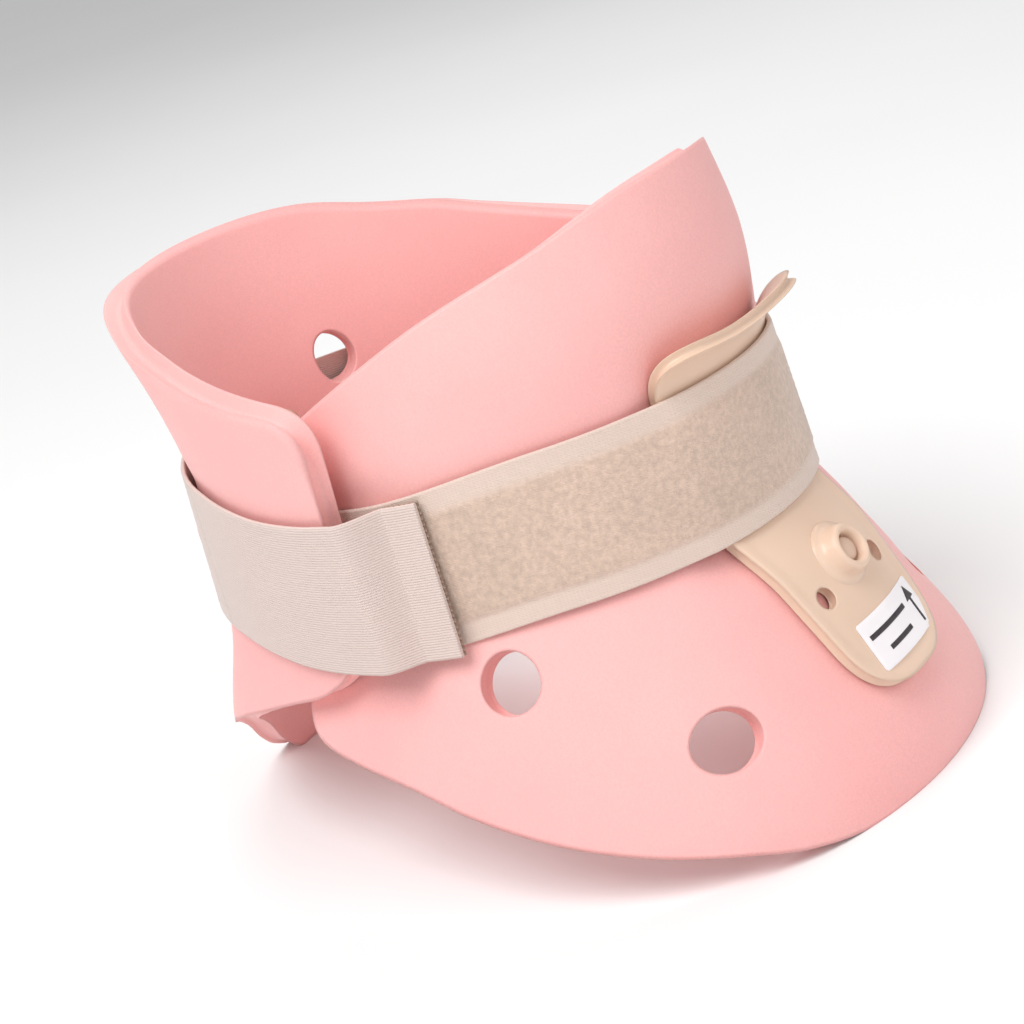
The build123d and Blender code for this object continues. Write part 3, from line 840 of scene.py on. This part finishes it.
def strut_surface(places, lift):
    """Points over the front foam. Above the strap the plate curls forward as the chin lip."""
    x, run = places[:, 0], places[:, 1]
    beyond = np.maximum(run - LIP_START, 0)
    raised = LIP_NEAR_RISE * smoothstep(6, 26, -x) + LIP_FAR_RISE * smoothstep(4, 27, x)
    raised = raised * (beyond / LIP_LENGTH) ** 0.9
    height = np.minimum(run, LIP_START) + np.interp(beyond, lip_run, lip_rise) + raised
    curl = np.interp(beyond, lip_run, lip_out) * (1 + LIP_FLARE * smoothstep(4, 24, x))
    turn = np.arcsin(np.clip(x / front_wall.profile(height)[:, 0], -0.99, 0.99))
    on_wall = np.stack([turn * ARC, height], 1)
    out = front_wall.out(on_wall)
    flat = out * [1, 1, 0]
    flat /= np.linalg.norm(flat, axis=1, keepdims=True)
    bend = np.interp(beyond, lip_run, lip_angle)[:, None]
    face = out * (bend == 0) + (flat * np.cos(bend) - np.array([0, 0, 1.0]) * np.sin(bend)) * (bend > 0)
    lift = np.asarray(lift, float) - sink(height)
    return front_wall.point(on_wall) + flat * curl[:, None] + face * lift[:, None]


def rounded_loop(corners, radii, spacing):
    """A closed outline from corners, each rounded by its own radius."""
    loop = resample(np.array(corners, float), 0.25)
    for corner, radius in zip(corners, radii):
        loop = resample(round_corner(loop, np.array(corner, float), radius), 0.25)
    return resample(loop, spacing)


strut_outline = rounded_loop(
    [(27.5, 32), (27, 15), (22, -20), (17.8, -64.6), (-17.8, -64.6), (-22, -20), (-27, 15), (-28.5, 33)],
    [7, 5, 14, 14, 14, 14, 12, 13], 1.0)
STRUT_RIM = 0.55
STRUT_RIM_WIDTH = (1.6, 3.6)    # full height up to the first, none beyond the second
PLATE_EDGE, HOLE_EDGE = 1.1, 0.5


def plate_lift(places, depth, outline, has_rim):
    """How far a plate's points lie off the foam. It is dished, with a low raised rim along its edge."""
    from_edge = nearest(places, outline)
    rim_height = STRUT_RIM * (1 - smoothstep(*STRUT_RIM_WIDTH, from_edge)) * has_rim
    return GAP + PLATE + rim_height * (1 - np.asarray(depth) / PLATE) - np.asarray(depth, float)


def place_strut(places, depth):
    return strut_surface(places, plate_lift(places, depth, strut_outline, places[:, 1] < LIP_START))


def circle(centre, radius, count=40):
    a = np.linspace(0, 2 * pi, count, endpoint=False)
    return np.array(centre) + radius * np.stack([np.cos(a), np.sin(a)], 1)


PIN_HEIGHT = -34.2
SMALL_HOLES = [(-12.8, -39.8), (12.8, -39.8)]
strut_holes = [circle(centre, 2.5) for centre in SMALL_HOLES] + [circle((0, PIN_HEIGHT), 4.2)]
strut = cut_sheet("front_strut_plate", place_strut, strut_outline, PLATE, PLATE_EDGE, strut_holes,
                  HOLE_EDGE, spacing=1.3)


def lathe(name, profile, centre, axis, count=64):
    """A turned piece: profile is (radius, height) in millimetres from its axis end."""
    axis = Vector(axis).normalized()
    turn = Vector((0, 0, 1)).rotation_difference(axis).to_matrix()
    points = []
    for radius, height in profile:
        for a in np.linspace(0, 2 * pi, count, endpoint=False):
            local = Vector((radius * cos(a), radius * sin(a), height)) * MM
            points.append(tuple(Vector(centre) + turn @ local))
    faces = []
    for i in range(len(profile) - 1):
        for j in range(count):
            k = (j + 1) % count
            faces.append((i * count + j, i * count + k, (i + 1) * count + k, (i + 1) * count + j))
    faces.append(tuple(reversed(range(count))))
    faces.append(tuple((len(profile) - 1) * count + j for j in range(count)))
    return make_mesh(name, points, faces)


def wall_spot(wall, turn, height, out_by):
    """A point over a wall and the way it faces, in the part's frame."""
    place = np.array([[radians(turn) * ARC, height]])
    point = wall.offset(place, np.array([out_by]))[0]
    facing = wall.out(place)[0]
    return Vector(to_world(point)), Vector(facing[0] * SIDE + facing[1] * ALONG + facing[2] * UP)


spot, facing = wall_spot(front_wall, 0, PIN_HEIGHT, GAP + PLATE - 0.9)
boss_profile = [(3.7, -1.5), (8.6, -0.6), (8.4, 0.7), (7.6, 1.0), (6.9, 1.6), (6.5, 2.5), (6.2, 3.5),
                (6.0, 4.5), (5.7, 5.1), (5.2, 5.5), (4.7, 5.5), (4.2, 5.1), (3.8, 4.5), (3.7, 3.0)]
boss = lathe("front_strut_boss", boss_profile + [(3.7, -1.0)], spot, facing)


def join(parts, name):
    """Joins finished meshes into one piece."""
    bpy.ops.object.select_all(action="DESELECT")
    for part in parts:
        part.select_set(True)
    bpy.context.view_layer.objects.active = parts[0]
    bpy.ops.object.join()
    parts[0].name = name
    return parts[0]


dress(strut, "strut_plastic")
dress(boss, "strut_plastic")
strut = join([strut, boss], "front_strut_moulding")
dress(strut, "strut_plastic", "front", ["front_strut"])


def pin(name, wall, turn, height, end_lift, end_radius=3.0, flange=9.0):
    """A flanged pin: the flange lies inside the foam and the shank comes out through it."""
    spot, facing = wall_spot(wall, turn, height, -FOAM)
    profile = [(flange - 0.6, -2.3), (flange, -1.9), (flange, -1.4), (flange - 0.5, -1.0),
               (3.4, -0.9), (3.0, -0.5), (end_radius, FOAM + end_lift - 0.5),
               (end_radius - 0.5, FOAM + end_lift)]
    dome = [(0.3, -2.9), (3.0, -2.8), (6.0, -2.6)]
    return lathe(name, dome + profile + [(0.3, FOAM + end_lift)], spot, facing)


front_pin = pin("front_pin_turned", front_wall, 0, PIN_HEIGHT, PLATE + 3.4)
dress(front_pin, "rivet_plastic", "front", ["front_pin"])

# ---- rear strut, pins and rivets ----
rear_strut_outline = rounded_loop([(19, 49), (17, 0), (19, -47), (-19, -47), (-17, 0), (-19, 49)],
                                  [14, 10, 15, 15, 10, 14], 1.0)
STRAP_AT_BACK = 8               # the height of the strap's middle there


def place_rear_strut(places, depth):
    turn = np.arcsin(places[:, 0] / rear_wall.profile(places[:, 1])[:, 0])
    on_wall = np.stack([turn * ARC, places[:, 1]], 1)
    clear_of_strap = np.abs(places[:, 1] - STRAP_AT_BACK) > STRAP_WIDTH / 2 + 1
    return rear_wall.offset(on_wall, plate_lift(places, depth, rear_strut_outline, clear_of_strap))


REAR_PINS = (14.0, -33.0)
rear_strut = cut_sheet("rear_strut_plate", place_rear_strut, rear_strut_outline, PLATE, PLATE_EDGE,
                       [circle((0, height), 3.3) for height in REAR_PINS], HOLE_EDGE, spacing=1.5)
dress(rear_strut, "strut_plastic", "rear", ["rear_strut"])
pins = [pin(f"rear_pin_{k}", rear_wall, 0, height, PLATE + GAP + 0.5) for k, height in enumerate(REAR_PINS)]
for piece in pins:
    dress(piece, "rivet_plastic")
rear_pins = join(pins, "rear_pins_turned")
dress(rear_pins, "rivet_plastic", "rear", ["rear_pins"])

RIVET_TURN = 27.5        # round the back from the middle, each way
RIVET_HEIGHT = 6.0
CAP = [(4.5, 0), (4.6, 0.2), (4.3, 0.5), (3.6, 0.72), (2.5, 0.86), (1.3, 0.92), (0.2, 0.94)]
rivets = []
for side in (-1, 1):
    share = np.array([[0.5 + side * 0.5 * RIVET_TURN / SEAM_TURN]])
    over = RIVET_HEIGHT - float(strap_height(radians(RIVET_TURN)))
    on_strap = middle_strap_at(share, np.array([[over]]))[0, 0]
    turn = degrees(np.arcsin(on_strap[0] / rear_wall.profile(np.array(RIVET_HEIGHT))[0]))
    _, facing = wall_spot(rear_wall, turn, RIVET_HEIGHT, 0)
    spot = Vector(to_world(on_strap)) + facing * WEBBING * MM
    shank = [(0.2, -FOAM - 4.5), (2.0, -FOAM - 4.5), (2.0, -0.2)]
    rivets.append(lathe(f"rivet_{len(rivets)}", shank + CAP, spot, facing))
for piece in rivets:
    dress(piece, "rivet_plastic")
rivets = join(rivets, "strap_rivets_turned")
dress(rivets, "rivet_plastic", "rear", ["strap_rivets"])

# ---- label ----
LABEL_X, LABEL_Z = (-11.6, 15.9), (-60.3, -48.3)
LABEL_FILM, LABEL_FACE = 0.25, 0.32     # thickness, and the outer face's height off the plate
INK_FILM, INK_FACE = 0.03, 0.36
label_loop = rounded_loop([(LABEL_X[0], LABEL_Z[0]), (LABEL_X[1], LABEL_Z[0]), (LABEL_X[1], LABEL_Z[1]),
                           (LABEL_X[0], LABEL_Z[1])], [0.6] * 4, 0.6)


def film_over_plate(places, depth, face):
    return strut_surface(places, GAP + PLATE + face - np.asarray(depth, float))


label = cut_sheet("label_film", lambda p, d: film_over_plate(p, d, LABEL_FACE), label_loop, LABEL_FILM,
                  0.05, spacing=1.2, steps=2)
dress(label, "label", "front", ["front_label"])


def ink(name, corners):
    """A printed mark on the label."""
    loop = resample(np.array(corners, float), 0.4)
    mark = cut_sheet(name, lambda p, d: film_over_plate(p, d, INK_FACE), loop, INK_FILM, 0.005,
                     spacing=0.5, steps=1)
    return dress(mark, "ink", "front")


def bar(name, x0, x1, z0, z1):
    return ink(name, [(x0, z0), (x1, z0), (x1, z1), (x0, z1)])


bar("label_bar_top", -9.8, 7.6, -53.0, -51.8)
bar("label_bar_low", -5.8, 5.4, -57.4, -56.2)
ink("label_arrow", [(11.5, -58.8), (12.5, -58.8), (12.5, -52.8), (14.2, -52.8), (12.0, -49.4),
                    (9.8, -52.8), (11.5, -52.8)])


# ---- studio ----
def floor():
    bpy.ops.mesh.primitive_plane_add(size=6, location=(0, 0, 0))
    plane = bpy.context.object
    plane.name = "floor"
    n = Nodes("floor_paper")
    base = n.ramp(n.noise(3, 2), [(0.3, (0.86, 0.86, 0.86)), (0.7, (0.88, 0.88, 0.88))])
    plane.data.materials.append(n.finish(Base_Color=base, Roughness=0.9))


def area_light(name, power, size, azimuth, elevation, distance, tint=(1, 1, 1)):
    """A soft light that faces the collar."""
    data = bpy.data.lights.new(name, "AREA")
    data.energy, data.size, data.color = power, size, tint
    thing = bpy.data.objects.new(name, data)
    a, e = radians(azimuth), radians(elevation)
    away = Vector((sin(a) * cos(e), -cos(a) * cos(e), sin(e)))
    thing.location = Vector((0, 0, 0.08)) + away * distance
    thing.rotation_euler = away.to_track_quat("Z", "Y").to_euler()
    bpy.context.scene.collection.objects.link(thing)


CAMERA_AZIMUTH, CAMERA_ELEVATION, CAMERA_ROLL = -51.8925, 18.4387, -16.2611
CAMERA_DISTANCE, CAMERA_LENS = 0.61285, 84.588
SENSOR_WIDTH, CLIP_END = 36, 20
CAMERA_TARGET = Vector((-0.002926, 0.002664, 0.068604))


def camera():
    a, e = radians(CAMERA_AZIMUTH), radians(CAMERA_ELEVATION)
    away = Vector((sin(a) * cos(e), -cos(a) * cos(e), sin(e)))
    data = bpy.data.cameras.new("camera")
    data.lens, data.sensor_width, data.clip_end = CAMERA_LENS, SENSOR_WIDTH, CLIP_END
    thing = bpy.data.objects.new("camera", data)
    level = away.to_track_quat("Z", "Y").to_matrix()
    roll = Matrix.Rotation(radians(CAMERA_ROLL), 3, away)
    thing.matrix_world = Matrix.Translation(CAMERA_TARGET + away * CAMERA_DISTANCE) @ (roll @ level).to_4x4()
    bpy.context.scene.collection.objects.link(thing)
    bpy.context.scene.camera = thing


WORLD_STRENGTH = 0.55           # even light from all round


def world():
    scene_world = bpy.data.worlds.new("studio")
    scene_world.use_nodes = True
    background = scene_world.node_tree.nodes["Background"]
    background.inputs["Color"].default_value = (1, 1, 1, 1)
    background.inputs["Strength"].default_value = WORLD_STRENGTH
    bpy.context.scene.world = scene_world


floor()
world()
# name, power, size, azimuth, elevation, distance
area_light("key", 16, 0.9, -95, 55, 1.5)
area_light("fill", 6, 1.2, -10, 35, 1.8)
area_light("back", 5, 0.8, 120, 50, 1.6)
camera()
bpy.context.scene.view_settings.view_transform = "Standard"
